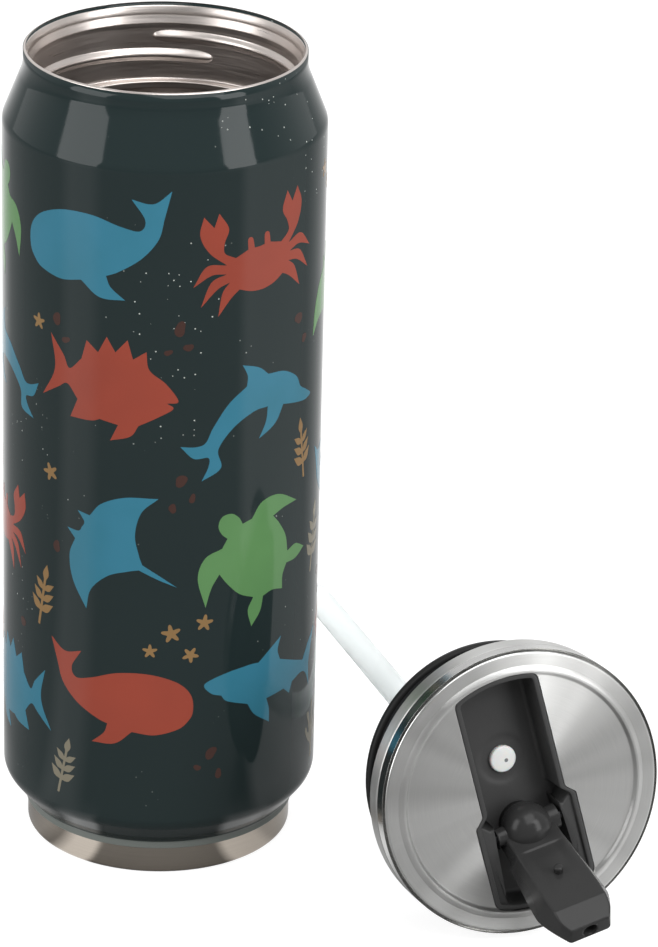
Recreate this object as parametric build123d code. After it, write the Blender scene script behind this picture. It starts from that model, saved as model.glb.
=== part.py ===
from build123d import *
from math import cos, radians, sin, sqrt
import os

# Kids' vacuum bottle shaped like a drinks can, with its screw lid taken off and stood beside it.
# Millimetres, +Z up. The origin is the centre of the bottle's foot, on the table.
# Every lid piece is drawn about the lid's own axis: x across the spout's slot, y up the slot
# towards the vent, z out of the lid's face, and z = 0 at the face ring. lid_place() stands it up.

# ---- bottle: outside ----
body_radius = 33.0        # can body, outside
rim_height = 173.0        # table to the mouth's lip
neck_inset = 4.3          # body to the neck and lip, outside
neck_height = 4.7         # upright neck below the lip
shoulder_height = 10.0    # slope from the neck to the full body
heel_height = 6.3         # slope from the full body to the hem
hem_inset = 4.6           # body to the painted shell's lower hem, outside
hem_height = 1.2          # upright part of that hem
foot_height = 6.0         # bare steel foot that shows below the hem
shell_wall = 0.5
slope_fillet = 4.0        # bend where a slope meets the body
neck_fillet = 2.0         # bend where a slope meets the neck or hem

# ---- bottle: inside ----
liner_wall = 0.5
lip_depth = 2.7           # plain upright wall at the mouth
throat_inset = 0.4        # lip wall to the threaded neck, inside
throat_step = 1.4         # height of the slope from the lip wall to the throat
seat_depth = 15.4         # lip down to where the sealing seat starts
seat_inset = 1.3          # threaded neck to the narrowest hole, under the seat
seat_height = 1.2
seat_land = 1.4           # upright wall below the seat
vacuum_gap = 2.6          # shell to liner, along the body
liner_flare = 5.6         # height over which the liner widens below the seat
floor_height = 9.5        # table to the top of the liner's floor
floor_corner = 7.0        # rounding between the liner's wall and floor
weld_height = 9.0         # height of the liner's welded bottom cup

# ---- screw thread between liner and plug ----
thread_pitch = 4.0
thread_turns = 1.08
thread_depth = 7.1        # lip down to the start of the liner's thread
ridge_height = 0.9        # how far the liner's ridge stands into the throat
ridge_width = 2.4
plug_gap = 0.4            # plug's core to the liner's ridge
crest_gap = 0.3           # plug's ridge and gasket to the throat

# ---- foot ----
foot_wall = 0.5
foot_tuck = 3.0           # how far the foot's wall runs up inside the hem
foot_land = 2.9           # width of the ring that stands on the table
foot_recess = 3.0         # height of the hollow under the bottle
recess_slope = 1.4
foot_fillet = 1.0
port_radius = 4.0         # dimple of the evacuation port
port_height = 1.0
port_hole = 0.9
seal_radius = 3.0
pad_gap = 0.6             # foot pad's edge to the wall of the hollow
getter_radius = 4.0
getter_height = 2.2
getter_gap = 1.7          # port dimple to the getter's strap
clip_wall = 0.3
clip_width = 3.0
clip_tab = 3.0

# ---- lid: steel cover ----
cap_overhang = 1.7        # bottle's lip to the outside of the cap
cap_depth = 8.0           # skirt, front to back
cap_wall = 0.5
cap_fillet = 0.9
face_width = 4.8          # flat ring round the recessed disc
seam_depth = 3.7          # face to the fine groove rolled round the skirt
seam_width = 0.4
seam_cut = 0.15
disc_recess = 0.6
disc_slope = 0.6

# ---- lid: slot and tray ----
slot_width = 18.8
ear_width = 22.8          # slot beside the hinge
ear_start = 2.3           # lid centre to where the slot starts to widen
ear_slope = 2.0
slot_margin = 0.2         # inner edge of the face ring to both ends of the slot
slot_corner = 2.0
ear_corner = 1.0
tray_gap = 0.1            # tray's rim to the cover's slot
tray_wall = 1.1
tray_proud = 0.1          # tray's rim above the recessed disc
tray_depth = 7.5          # face ring to the tray's floor
tray_floor = 1.2
cheek_gap = 14.8          # between the two cheeks that hold the hinge pins
cheek_drop = 0.7          # cheeks' tops below the tray's rim
plate_lip = 1.6           # how far the tray's flange reaches under the cover, past the slot's ends
plate_wall = 1.0
plate_gap = 0.1
vent_offset = 5.4         # lid centre to the vent
dish_radius = 5.4
dish_depth = 0.3

# ---- lid: hinge, seal and socket ----
hinge_offset = 8.8        # lid centre to the spout's hinge, towards the foot of the slot
hinge_depth = 3.0         # face ring down to the hinge axis
ball_radius = 5.3
pocket_gap = 0.3          # ball to the tray's pocket
boss_radius = 6.5
boss_depth = 12.5         # face ring to the underside of the boss below the hinge
seal_ring_radius = 4.2
seal_ring_hole = 1.9
seal_ring_gap = 0.1       # seal to its pocket
seal_ring_depth = 11.0
seal_fit = 0.06           # seal's cup to the ball
pin_radius = 1.0
pin_fit = 0.05
pin_bite = 2.2            # pin's length inside the cheek
pin_reach = 3.2           # pin's length inside the hub
socket_radius = 4.5
socket_flange = 6.0
socket_flange_wall = 1.2
socket_bore = 2.0
socket_depth = 23.0       # face ring to the open end of the straw socket

# ---- lid: plug and gasket ----
plug_wall = 1.5
collar_gap = 0.1          # plug's collar to the tray's channel
collar_wall = 1.4
flange_gap = 0.05         # plug's flange inside the cover's skirt
flange_seat = 5.0         # face ring to the face that meets the bottle's lip
flange_top = 0.15         # plug's flange below the cover's ring
gasket_depth = 17.2       # face ring to the gasket's upper face
gasket_height = 2.0
gasket_grip = 0.9         # how far the gasket's groove is cut into the plug
lip_height = 0.4
lip_catch = 0.5           # how far the plug's end lip holds the gasket
floor_wall = 1.2
floor_fit = 0.05

# ---- vent valve ----
valve_radius = 2.85
valve_proud = 0.7         # valve's top above the tray's floor
valve_stem = 1.4
valve_stem_gap = 0.1
valve_bulge = 2.2
valve_bulge_height = 0.9
valve_pinhole = 0.4

# ---- spout ----
spout_length = 28.4       # hinge axis to the tip
spout_crown = 3.2         # hinge axis to the outer face
tip_depth = 4.1           # end face, outer edge to lip chamfer
belly_depth = 2.6         # hinge axis to the underside, near the tip
chamfer_run = 5.3         # lip chamfer, back from the tip
root_depth = 1.0          # hinge axis to the underside, near the hinge
root_start = 4.0
root_half = 6.2           # half width between the cheeks
neck_end = 4.6
waist_half = 7.1
waist_start = 7.2
tip_half = 8.0
draft = 18.0              # degrees, the sides' slope from the outer face to the underside
tip_run = 5.0             # length of the widest part
tip_corner = 3.6
spout_fillet = 0.8
hub_radius = 3.2
hub_gap = 0.3             # hub's ends to the cheeks
channel_radius = 1.5
channel_lift = 1.1        # channel's axis above the hinge axis
channel_root = 3.5        # how far the channel runs back into the ball, short of its far side
nub_radius = 1.1
nub_gap = 0.15            # nub to the vent valve when the spout is shut
spout_open = 120.0        # degrees from shut to the open rest position

# ---- straw ----
straw_radius = 3.0
straw_wall = 0.6
straw_fit = 0.05
straw_stop_gap = 0.2
straw_straight = 12.0     # straight end that sits in and leaves the socket
straw_bend = 6.45         # degrees, set by lying against the table
straw_bend_radius = 60.0
straw_reach = 127.0       # straight length after the bend

# ---- where the lid stands ----
lid_x = 75.8
lid_y = -47.7
lid_turn = 21.8           # face turned from -Y towards +X
lid_lean = 8.3            # face tipped upwards
lid_spin = 12.8           # slot turned about the lid's axis

# ---- sizes that follow from the ones above ----
rim_radius = body_radius - neck_inset
hem_radius = body_radius - hem_inset
mouth_radius = rim_radius - shell_wall - liner_wall
throat_radius = mouth_radius - throat_inset
seat_radius = throat_radius - seat_inset
liner_radius = body_radius - shell_wall - vacuum_gap - liner_wall
foot_radius = hem_radius - shell_wall
plug_radius = throat_radius - ridge_height - plug_gap
crest_radius = throat_radius - crest_gap
cap_radius = rim_radius + cap_overhang
slot_reach = cap_radius - face_width - slot_margin
plate_radius = slot_reach + plate_lip
tray_top = -disc_recess + tray_proud
plug_end = -gasket_depth - gasket_height - lip_height
pad_radius = foot_radius - foot_land - recess_slope - pad_gap
getter_offset = port_radius + getter_gap + clip_tab + clip_wall + getter_radius
belly_start = spout_length - chamfer_run
tip_start = spout_length - tip_run


def turned(face):
    """A profile drawn as (radius, height), spun about Z."""
    return revolve(Plane.XZ * face, axis=Axis.Z, revolution_arc=360)


def sheet(points, radii, wall, side):
    """Pressed sheet: a bent path of (radius, height) points, given a wall on one side and spun about Z."""
    path = FilletPolyline(*points, radius=radii)
    return turned(make_face(offset(path, amount=wall, side=side, closed=True)))


def rod(radius, low, high, x=0.0, y=0.0):
    """Upright cylinder from low to high."""
    return Pos(x, y, low) * Cylinder(radius, high - low, align=(Align.CENTER, Align.CENTER, Align.MIN))


def ring(outer, inner, low, high, x=0.0, y=0.0):
    return rod(outer, low, high, x, y) - rod(inner, low, high, x, y)


def helix_ridge(root, crest, width, top, turns):
    """Right-hand ridge that runs down from top, with a trapezium section from root radius to crest radius."""
    height = thread_pitch * turns
    path = Helix(pitch=thread_pitch, height=height, radius=root)
    start = Plane(origin=path @ 0, x_dir=(1, 0, 0), z_dir=path % 0)
    reach = crest - root
    outline = Polyline((-0.2 * reach, -width / 2), (-0.2 * reach, width / 2), (reach, width / 5),
                       (reach, -width / 5), close=True)
    return Pos(0, 0, top - height) * sweep(start * make_face(outline), path=path, is_frenet=True)


# ---- bottle ----

def outer_shell():
    hem_top = foot_height + hem_height
    points = [
        (hem_radius, foot_height),
        (hem_radius, hem_top),
        (body_radius, hem_top + heel_height),
        (body_radius, rim_height - neck_height - shoulder_height),
        (rim_radius, rim_height - neck_height),
        (rim_radius, rim_height),
    ]
    return sheet(points, [0.6, slope_fillet, slope_fillet, neck_fillet], shell_wall, Side.LEFT)


def liner_points():
    """Wetted side of the liner, from the lip down to the weld."""
    throat_top = rim_height - lip_depth - throat_step
    seat_top = rim_height - seat_depth
    land_low = seat_top - seat_height - seat_land
    return [
        (mouth_radius, rim_height),
        (mouth_radius, rim_height - lip_depth),
        (throat_radius, throat_top),
        (throat_radius, seat_top),
        (seat_radius, seat_top - seat_height),
        (seat_radius, land_low),
        (liner_radius, land_low - liner_flare),
        (liner_radius, floor_height + weld_height),
    ]


def inner_liner():
    wall = sheet(liner_points(), [0.5, 0.5, 0.4, 0.4, 0.6, 3.0], liner_wall, Side.LEFT)
    crest = throat_radius - ridge_height
    ridge = helix_ridge(throat_radius, crest, ridge_width, rim_height - thread_depth, thread_turns)
    return wall + ridge


def liner_base():
    """Welded bottom cup of the liner."""
    points = [(liner_radius, floor_height + weld_height), (liner_radius, floor_height), (0, floor_height)]
    return sheet(points, [floor_corner], liner_wall, Side.LEFT)


def outer_base():
    """Steel cup that closes the shell, with the foot ring and the evacuation port."""
    land = foot_radius - foot_land
    points = [
        (foot_radius, foot_height + foot_tuck),
        (foot_radius, 0),
        (land, 0),
        (land - recess_slope, foot_recess),
        (port_radius, foot_recess),
        (port_radius - port_height, foot_recess + port_height),
        (0, foot_recess + port_height),
    ]
    radii = [foot_fillet, 0.7, 0.7, 0.4, 0.4]
    cup = sheet(points, radii, foot_wall, Side.RIGHT)
    return cup - rod(port_hole, 0, foot_recess + port_height + 2 * foot_wall)


def vacuum_seal():
    """Glass bead that closes the port after pumping."""
    top = foot_recess + port_height
    return rod(seal_radius - port_height, top - 0.7, top) + rod(port_hole, top, top + foot_wall)


def foot_pad():
    """Soft pad bonded into the hollow under the bottle, level with the foot ring."""
    return rod(pad_radius, 0, foot_recess)


def getter():
    low = foot_recess + foot_wall
    return rod(getter_radius, low, low + getter_height, getter_offset)


def getter_clip():
    """Strap spot-welded over the getter."""
    low = foot_recess + foot_wall
    high = low + getter_height
    outer = getter_radius + clip_wall
    tab = Box(2 * (outer + clip_tab), clip_width, clip_wall, align=(Align.CENTER, Align.CENTER, Align.MIN))
    arch = Box(2 * outer, clip_width, getter_height + clip_wall,
               align=(Align.CENTER, Align.CENTER, Align.MIN))
    return Pos(getter_offset, 0, low) * (tab + arch) - rod(getter_radius, low, high, getter_offset)


# ---- lid ----

def slot_face(inset):
    """Outline of the spout's slot, drawn in by inset: a channel that widens beside the hinge."""
    narrow = slot_width / 2 - inset
    wide = ear_width / 2 - inset
    far = slot_reach + 1
    points = [
        (-narrow, far), (-narrow, -ear_start), (-wide, -ear_start - ear_slope), (-wide, -far),
        (wide, -far), (wide, -ear_start - ear_slope), (narrow, -ear_start), (narrow, far),
    ]
    outline = make_face(Polyline(*points, close=True)) & Circle(slot_reach - inset)
    face = outline.faces()[0]
    steps = face.vertices().filter_by(lambda v: abs(v.Y) < slot_reach / 2)
    face = fillet(steps, ear_corner)
    ends = face.vertices().filter_by(lambda v: abs(v.Y) > slot_reach / 2)
    return fillet(ends, slot_corner - inset)


def slab(face, low, high):
    """A flat face given thickness from low to high."""
    return extrude(Pos(0, 0, low) * face, amount=high - low)


def lid_cover():
    """Brushed steel cap: skirt, flat face ring and recessed disc, with the slot cut out."""
    ring_edge = cap_radius - face_width
    points = [
        (cap_radius, -cap_depth),
        (cap_radius, 0),
        (ring_edge, 0),
        (ring_edge - disc_slope, -disc_recess),
        (0, -disc_recess),
    ]
    cap = sheet(points, [cap_fillet, 0.4, 0.4], cap_wall, Side.LEFT)
    cap -= ring(cap_radius + 1, cap_radius - seam_cut, -seam_depth - seam_width, -seam_depth)
    return cap - slab(slot_face(0), -2 * disc_recess - cap_wall, 1)


def spout_tray():
    """Black tray under the slot: channel, cheeks for the pins, flange, and the boss for the seal."""
    under = -tray_depth - tray_floor
    body = slab(slot_face(tray_gap), under, tray_top)
    plate_top = -disc_recess - cap_wall - plate_gap
    body += rod(plate_radius, plate_top - plate_wall, plate_top)
    body += rod(boss_radius, -boss_depth, under, 0, -hinge_offset)
    hollow = slot_face(tray_gap + tray_wall)
    cheek_top = -ear_start - ear_slope
    inner = Rectangle(cheek_gap, 3 * slot_reach)
    upper = Pos(0, cheek_top + 1.5 * slot_reach) * Rectangle(3 * slot_reach, 3 * slot_reach)
    body -= slab(hollow & (inner + upper), -tray_depth, 1)
    body -= slab(hollow, tray_top - cheek_drop, 1)
    body -= Pos(0, -hinge_offset, -hinge_depth) * Sphere(ball_radius + pocket_gap)
    body -= rod(seal_ring_radius + seal_ring_gap, -seal_ring_depth, -tray_depth + 1, 0, -hinge_offset)
    body -= rod(socket_bore, -boss_depth, -seal_ring_depth, 0, -hinge_offset)
    body -= rod(dish_radius, -tray_depth - dish_depth, -tray_depth, 0, vent_offset)
    body -= rod(valve_stem + valve_stem_gap, under, -tray_depth, 0, vent_offset)
    for side in (-1, 1):
        body -= pin(side, 0)
    return body


def pin(side, grow):
    """One hinge pin, from inside the cheek into the spout's hub."""
    inner = cheek_gap / 2 - pin_reach
    outer = cheek_gap / 2 + pin_bite
    shaft = Cylinder(pin_radius + grow, outer - inner)
    return Pos(side * (inner + outer) / 2, -hinge_offset, -hinge_depth) * Rot(0, 90, 0) * shaft


def hinge_pins():
    return Compound(children=[pin(side, 0) for side in (-1, 1)])


def spout_seal():
    """Soft ring that the spout's ball turns on."""
    body = ring(seal_ring_radius, seal_ring_hole, -seal_ring_depth, -tray_depth + 0.9, 0, -hinge_offset)
    return body - Pos(0, -hinge_offset, -hinge_depth) * Sphere(ball_radius + seal_fit)


def vent_valve():
    """White silicone button with a pin hole, held by a bulge under the tray's floor."""
    dish = -tray_depth - dish_depth
    under = -tray_depth - tray_floor
    body = rod(valve_radius, dish, -tray_depth + valve_proud, 0, vent_offset)
    body += rod(valve_stem, under - valve_bulge_height, dish, 0, vent_offset)
    body += rod(valve_bulge, under - valve_bulge_height, under, 0, vent_offset)
    return body - rod(valve_pinhole, under - valve_bulge_height, 0, 0, vent_offset)


def lid_plug():
    """Threaded plug: flange that meets the bottle's lip, wall, screw ridge and gasket groove."""
    core = plug_radius
    inner = core - plug_wall
    flange = cap_radius - cap_wall - flange_gap
    collar = slot_reach - tray_gap + collar_gap
    plate_low = -disc_recess - cap_wall - plate_gap - plate_wall
    shelf = -tray_depth - tray_floor - collar_gap
    body = ring(flange, plate_radius + plate_gap, -flange_seat, -cap_wall - disc_recess - flange_top)
    body += ring(flange, collar, -flange_seat, plate_low)
    body += ring(collar + collar_wall, collar, shelf, -flange_seat)
    body += ring(collar + collar_wall, inner, shelf - collar_wall / 2, shelf)
    body += ring(core, inner, -gasket_depth, shelf)
    groove = core - gasket_grip
    body += ring(groove, inner, plug_end, -gasket_depth)
    body += ring(groove + lip_catch, inner, plug_end, plug_end + lip_height)
    top = -flange_seat - ridge_width - 2.6
    return body + helix_ridge(core, crest_radius, ridge_width, top, 1.0)


def lid_gasket():
    groove = plug_radius - gasket_grip
    low = -gasket_depth - gasket_height
    body = ring(crest_radius, groove, low, -gasket_depth)
    return fillet(body.edges().filter_by(GeomType.CIRCLE).group_by(SortBy.RADIUS)[-1], 0.5)


def plug_floor():
    """Disc that closes the plug, with holes for the straw socket and the vent."""
    low = -gasket_depth - gasket_height
    body = rod(plug_radius - plug_wall - floor_fit, low, low + floor_wall)
    body -= rod(socket_radius + floor_fit, low, low + floor_wall, 0, -hinge_offset)
    return body - rod(valve_stem, low, low + floor_wall, 0, vent_offset)


def straw_socket():
    shoulder = -boss_depth - socket_flange_wall
    body = rod(socket_radius, -socket_depth, shoulder, 0, -hinge_offset)
    body += rod(socket_flange, shoulder, -boss_depth, 0, -hinge_offset)
    body -= rod(straw_radius + straw_fit, -socket_depth, shoulder, 0, -hinge_offset)
    return body - rod(socket_bore, shoulder, -boss_depth, 0, -hinge_offset)


def straw():
    """Tube whose straight end sits in the socket, bent where the table pushes it aside."""
    top = -boss_depth - socket_flange_wall - straw_stop_gap
    bend = radians(straw_bend)
    start = Vector(0, 0, top)
    knee = Vector(0, 0, top - straw_straight)
    toe = knee + Vector(straw_bend_radius * (1 - cos(bend)), 0, -straw_bend_radius * sin(bend))
    end = toe + Vector(sin(bend), 0, -cos(bend)) * straw_reach
    path = Line(start, knee) + TangentArc(knee, toe, tangent=(0, 0, -1)) + Line(toe, end)
    section = Circle(straw_radius) - Circle(straw_radius - straw_wall)
    return Pos(0, -hinge_offset, 0) * sweep(Pos(0, 0, top) * section, path=path)


# ---- spout ----

def spout():
    """Flip-up mouthpiece, drawn shut along +y from its hinge, then turned to the open position."""
    side = [
        (0, spout_crown), (spout_length + 1, spout_crown), (spout_length + 1, spout_crown - tip_depth),
        (spout_length, spout_crown - tip_depth), (belly_start, -belly_depth),
        (root_start, -root_depth), (0, -root_depth),
    ]
    wall = extrude(Plane.YZ * make_face(Polyline(*side, close=True)), amount=2 * tip_half, both=True)
    half = [(root_half, 0), (root_half, neck_end), (waist_half, waist_start), (tip_half, tip_start)]
    plan = make_face(Polyline(*half, (tip_half, spout_length), (-tip_half, spout_length),
                              *[(-x, y) for x, y in reversed(half)], close=True))
    plan = fillet(plan.vertices().group_by(Axis.Y)[-1], tip_corner)
    blade = wall & extrude(Pos(0, 0, spout_crown) * plan, amount=-2 * spout_crown, taper=draft)
    top_edges = blade.edges().group_by(Axis.Z)[-1].filter_by(lambda e: e.center().Y > 1)
    blade = fillet(top_edges, spout_fillet)
    hub_half = cheek_gap / 2 - hub_gap
    body = blade + Sphere(ball_radius) + Rot(0, 90, 0) * Cylinder(hub_radius, 2 * hub_half)
    nub_at = hinge_offset + vent_offset
    nub_low = hinge_depth - tray_depth + valve_proud + nub_gap
    body += rod(nub_radius, nub_low, 0, 0, nub_at)
    run = Plane(origin=(0, 0, channel_lift), z_dir=(0, 1, 0))
    body -= run * Pos(0, 0, channel_root - ball_radius) * Cylinder(
        channel_radius, spout_length + ball_radius, align=(Align.CENTER, Align.CENTER, Align.MIN))
    opened = Rot(spout_open, 0, 0) * body
    opened -= Pos(0, 0, -ball_radius - 1) * Cylinder(
        channel_radius, ball_radius + 1, align=(Align.CENTER, Align.CENTER, Align.MIN))
    opened = Pos(0, -hinge_offset, -hinge_depth) * opened
    for end in (-1, 1):
        opened -= pin(end, pin_fit)
    return opened


# ---- placing and writing ----

def lid_place():
    """Stands the lid on the back edge of its skirt, tipped back, beside the bottle."""
    height = cap_radius * cos(radians(lid_lean)) + cap_depth * sin(radians(lid_lean))
    return Pos(lid_x, lid_y, height) * Rot(0, 0, lid_turn) * Rot(90 - lid_lean, 0, 0) * Rot(0, 0, lid_spin)


BOTTLE = [outer_shell, inner_liner, liner_base, outer_base, vacuum_seal, foot_pad, getter, getter_clip]
LID = [lid_cover, spout_tray, hinge_pins, spout_seal, vent_valve, lid_plug, lid_gasket, plug_floor,
       straw_socket, spout, straw]

os.makedirs("parts", exist_ok=True)
for make in BOTTLE:
    export_step(make(), f"parts/{make.__name__}.step")
for make in LID:
    export_step(lid_place() * make(), f"parts/{make.__name__}.step")
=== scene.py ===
# %% [markdown]
# # A kids' steel bottle with its flip-spout lid beside it
# The bottle is two steel cans, one inside the other, welded at the lip. The outer can is painted
# and printed. The lid is a brushed steel cap over black plastic, with a spout that flips up.
# Shapes are worked out in millimetres and handed over in metres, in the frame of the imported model,
# so every piece lands in its place.

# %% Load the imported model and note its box
import bpy
import bmesh
import numpy as np
from mathutils import Matrix, Vector
from mathutils.geometry import delaunay_2d_cdt


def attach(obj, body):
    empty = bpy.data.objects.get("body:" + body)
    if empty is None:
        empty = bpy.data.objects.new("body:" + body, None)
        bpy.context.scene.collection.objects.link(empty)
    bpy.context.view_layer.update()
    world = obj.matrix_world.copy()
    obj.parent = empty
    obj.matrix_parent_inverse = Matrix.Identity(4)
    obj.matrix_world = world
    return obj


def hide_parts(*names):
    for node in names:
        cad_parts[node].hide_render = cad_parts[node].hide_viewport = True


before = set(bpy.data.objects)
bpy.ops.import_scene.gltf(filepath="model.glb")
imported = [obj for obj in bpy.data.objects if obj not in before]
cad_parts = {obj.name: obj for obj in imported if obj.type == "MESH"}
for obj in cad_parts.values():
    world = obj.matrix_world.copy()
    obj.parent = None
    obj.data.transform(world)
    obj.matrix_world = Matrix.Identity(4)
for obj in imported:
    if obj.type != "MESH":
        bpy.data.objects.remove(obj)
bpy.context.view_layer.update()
MM = 0.001

# %% [markdown]
# ## Profiles and turned surfaces
# Cans, rings and rubber buttons are all turned shapes: a profile of radius against height, spun
# about an axis. A Spin or Screw modifier could do it. A grid worked out with numpy gives the same
# surface with even faces and true normals, so the highlights run smoothly round the can.

# %% Round the corners of a profile
def rounded(points, radii, steps, closed=False):
    """Corner points with a circular arc of the given radius at each.
    An arc starts and ends r*tan(turn/2) from its corner, and its points are centre + r*(cos, sin).
    It takes at most 0.47 of the side before or after it. A short straight next to each arc keeps the
    shading of the flats flat."""
    pts = np.asarray(points, float)
    count = len(pts)
    out = []
    for i in range(count):
        radius = radii[i]
        if (not closed and i in (0, count - 1)) or radius <= 0:
            out.append(pts[i][None])
            continue
        before = pts[i - 1] - pts[i]
        after = pts[(i + 1) % count] - pts[i]
        a = before / np.linalg.norm(before)
        b = after / np.linalg.norm(after)
        half = 0.5 * np.arccos(np.clip(a @ b, -1, 1))
        reach = min(radius / np.tan(half), 0.47 * np.linalg.norm(before), 0.47 * np.linalg.norm(after))
        radius = reach * np.tan(half)
        centre = pts[i] + (a + b) / np.linalg.norm(a + b) * radius / np.sin(half)
        start = pts[i] + a * reach - centre
        turn = np.pi - 2 * half
        turn = turn if start[0] * b[1] - start[1] * b[0] > 0 else -turn
        t = np.linspace(0, turn, steps)[:, None]
        arc = centre + start * np.cos(t) + np.stack([-start[1], start[0]]) * np.sin(t)
        lead = min(0.12, 0.4 * radius, 0.2 * reach)
        out += [(arc[0] + a * lead)[None], arc, (arc[-1] + b * lead)[None]]
    return np.vstack(out)


def offset_path(path, distance):
    """The path moved sideways by distance along its own normal, (-dz, dr) over its length."""
    step = np.gradient(path, axis=0)
    normal = np.stack([-step[:, 1], step[:, 0]], 1)
    normal /= np.maximum(np.linalg.norm(normal, axis=1, keepdims=True), 1e-9)
    return path + distance * normal


def refine(path, step):
    """The same path with extra points, so that no two neighbours lie further apart than step."""
    gaps = np.linalg.norm(np.diff(path, axis=0), axis=1)
    counts = np.maximum(np.ceil(gaps / step).astype(int), 1)
    start = np.repeat(np.arange(len(gaps)), counts)
    inside = (np.arange(counts.sum()) - np.repeat(np.cumsum(counts) - counts, counts)) / counts[start]
    dense = path[start] + (path[start + 1] - path[start]) * inside[:, None]
    return np.vstack([dense, path[-1:]])


# %% Turn a grid of points into a mesh
def faces_of_grid(rows, columns, looped):
    """Quads (i, j), (i+1, j), (i+1, j+1), (i, j+1) over a grid whose rows are rings. In a looped grid
    the last row joins the first."""
    i = np.arange(rows if looped else rows - 1)[:, None]
    j = np.arange(columns)[None]
    i1, j1 = (i + 1) % rows, (j + 1) % columns
    corners = [i * columns + j, i1 * columns + j, i1 * columns + j1, i * columns + j1]
    return np.stack([c.ravel() for c in np.broadcast_arrays(*corners)], 1)


SAME_SPOT, NO_EDGE = 2e-7, 1e-7     # metres: points and edges that the clean-up merges


def build(name, grids, body, material, stands_for):
    """One closed mesh from a list of (points, looped), in millimetres.
    A first or last row that shrinks to one spot closes a pole. The sign of the volume,
    the sum of a.(b x c)/6, tells whether a grid is inside out."""
    verts, faces, base = [], [], 0
    for points, looped in grids:
        quads = faces_of_grid(*points.shape[:2], looped)
        flat = points.reshape(-1, 3)
        a, b, c, d = (flat[quads[:, k]] for k in range(4))
        volume = (a * np.cross(b, c)).sum() + (a * np.cross(c, d)).sum()
        faces.append((quads if volume > 0 else quads[:, ::-1]) + base)
        verts.append(flat * MM)
        base += len(flat)
    mesh = bpy.data.meshes.new(name)
    mesh.from_pydata(np.vstack(verts), [], np.vstack(faces).tolist())
    work = bmesh.new()
    work.from_mesh(mesh)
    bmesh.ops.remove_doubles(work, verts=work.verts, dist=SAME_SPOT)
    bmesh.ops.dissolve_degenerate(work, edges=work.edges, dist=NO_EDGE)
    work.to_mesh(mesh)
    work.free()
    mesh.shade_smooth()
    return finish_piece(name, mesh, body, material, stands_for)


def finish_piece(name, mesh, body, material, stands_for=()):
    """Puts a mesh into the scene with its body and its material."""
    mesh.materials.append(material)
    piece = bpy.data.objects.new(name, mesh)
    bpy.context.scene.collection.objects.link(piece)
    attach(piece, body)
    if stands_for:
        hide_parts(*stands_for)
    print(f"{name}: {len(mesh.vertices)} points, {len(mesh.polygons)} faces")
    return piece


def turned(profile, segments, place=None):
    """Spins a (radius, height) profile about the axis: x = r cos(t), y = r sin(t), z = h.
    A second function may then place the points."""
    t = np.linspace(0, 2 * np.pi, segments, endpoint=False)[None]
    r, z = profile[:, :1], profile[:, 1:]
    points = np.stack([r * np.cos(t), r * np.sin(t), z + 0 * t], -1)
    return points if place is None else place(points)


# %% [markdown]
# ## Finishes
# Every finish is one Principled shader, with noise in the object's coordinates for grain, brushing
# and colour drift. Colours are written as they would be mixed on a screen, then turned to linear light.

# %% Helpers for node materials
def paint(red, green, blue):
    """A 0-255 screen colour as linear light: ((c + 0.055) / 1.055) ** 2.4 above the toe."""
    c = np.array([red, green, blue]) / 255
    linear = np.where(c <= 0.04045, c / 12.92, ((c + 0.055) / 1.055) ** 2.4)
    return (*linear.tolist(), 1.0)


class Nodes:
    """Short calls for the nodes that this scene uses, all in one node tree."""

    def __init__(self, tree, shader):
        self.tree = tree
        self.shader = tree.nodes[shader]
        self.coord = tree.nodes.new("ShaderNodeTexCoord")

    def node(self, kind, inputs=(), **settings):
        made = self.tree.nodes.new(kind)
        for key, value in settings.items():
            setattr(made, key, value)
        for key, value in dict(inputs).items():
            if isinstance(value, bpy.types.NodeSocket):
                self.tree.links.new(value, made.inputs[key])
            else:
                made.inputs[key].default_value = value
        return made

    def noise(self, scale, detail, stretch=(1, 1, 1), shift=(0, 0, 0), source=None):
        source = source or self.coord.outputs["Object"]
        mapping = self.node("ShaderNodeMapping", {"Vector": source, "Scale": stretch, "Location": shift})
        return self.node("ShaderNodeTexNoise", {"Vector": mapping.outputs[0], "Scale": scale,
                                                "Detail": detail}).outputs["Fac"]

    def ramp(self, value, stops):
        made = self.node("ShaderNodeValToRGB", {"Fac": value})
        elements = made.color_ramp.elements
        while len(elements) < len(stops):
            elements.new(0.5)
        for element, (place, colour) in zip(elements, stops):
            element.position = place
            element.color = colour if np.ndim(colour) else (colour, colour, colour, 1)
        return made.outputs["Color"]

    def math(self, operation, *values):
        return self.node("ShaderNodeMath", enumerate(values), operation=operation).outputs[0]

    def mix(self, factor, a, b, blend="MIX"):
        return self.node("ShaderNodeMix", {0: factor, 6: a, 7: b}, data_type="RGBA",
                         blend_type=blend).outputs[2]

    def seen_through(self):
        """1 for a ray that comes straight from the viewer or through something clear, 0 for others."""
        path = self.node("ShaderNodeLightPath").outputs
        return self.math("MAXIMUM", path["Is Camera Ray"], path["Is Transmission Ray"])

    def drive(self, socket, value):
        self.tree.links.new(value, self.shader.inputs[socket])


class Finish(Nodes):
    """A Principled material whose plain values are given by name."""

    def __init__(self, name, **sockets):
        self.material = bpy.data.materials.new(name)
        self.material.use_nodes = True
        super().__init__(self.material.node_tree, "Principled BSDF")
        for socket, value in sockets.items():
            self.shader.inputs[socket.replace("_", " ")].default_value = value

    def bump(self, height, strength, distance):
        made = self.node("ShaderNodeBump", {"Height": height, "Strength": strength, "Distance": distance})
        self.drive("Normal", made.outputs[0])
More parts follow.
